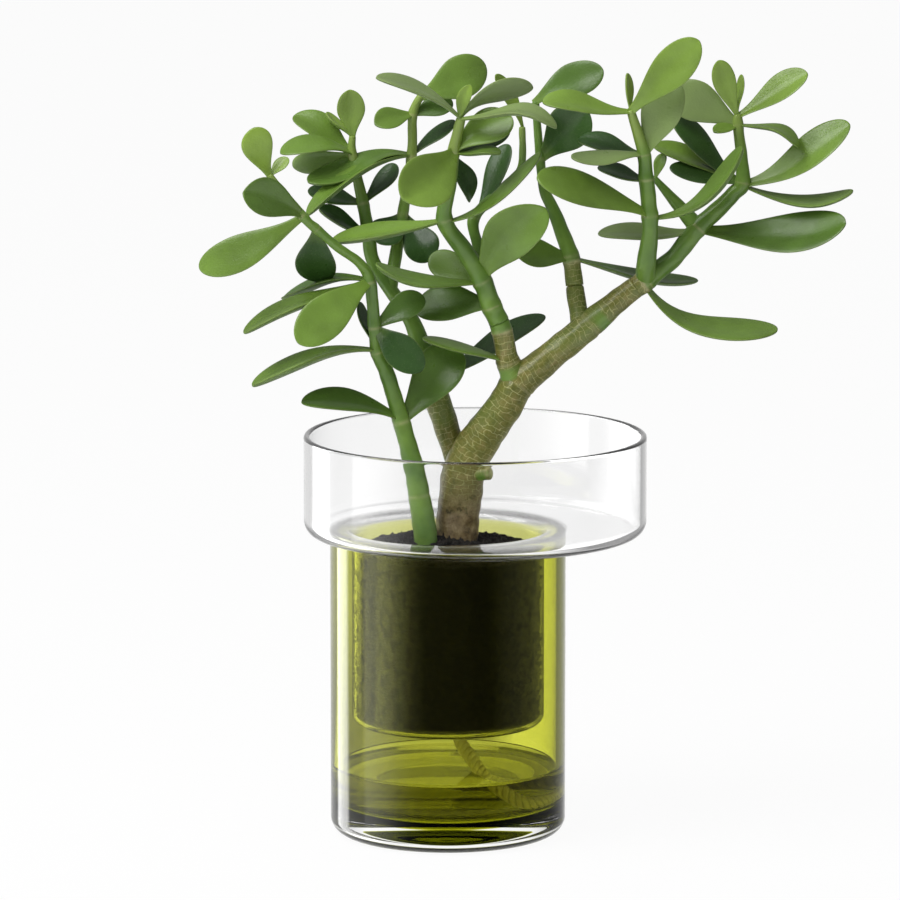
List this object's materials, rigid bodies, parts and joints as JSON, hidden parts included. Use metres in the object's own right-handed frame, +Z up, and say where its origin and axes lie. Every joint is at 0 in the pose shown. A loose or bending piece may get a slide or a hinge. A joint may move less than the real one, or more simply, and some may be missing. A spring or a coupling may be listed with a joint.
{
  "type": "self-watering glass planter",
  "caption": "Glass planter in two stacked pieces: a tinted water vessel and a clear bowl with a hanging pot, a cotton wick that feeds the soil from below, planted with a jade plant.",
  "frame": {"origin": "centre of the vessel's flat foot, where it stands", "axes": "+Z up along the vessel's axis, -Y to the front, +X to the right, the side to which the bowl is set off"},
  "size_m": [0.285, 0.151, 0.3547],
  "materials": {
    "vessel_glass": "polished",
    "clear_glass": "polished",
    "water": "gloss",
    "wick_cotton": "matte",
    "soil": "matte",
    "bark": "matte",
    "jade_leaf": "satin"
  },
  "bodies": {
    "vessel": {"reservoir_vessel": "vessel_glass", "water": "water"},
    "insert": {"pot_insert": "clear_glass", "wick_upper": "wick_cotton", "wick_tail": "wick_cotton"},
    "plant": {"potting_soil": "soil", "trunk": "bark", "left_shoot": "jade_leaf", "back_left_shoot": "jade_leaf", "centre_shoot": "jade_leaf", "back_shoot": "jade_leaf", "right_shoot": "jade_leaf"}
  },
  "joints": [
    {"name": "insert_lift", "type": "slide", "parent": "vessel", "child": "insert", "axis": [0, 0, 1], "range_m": [0, 0.125], "deforming": ["water"]},
    {"name": "plant_lift", "type": "slide", "parent": "insert", "child": "plant", "axis": [0, 0, 1], "range_m": [0, 0.13]}
  ]
}
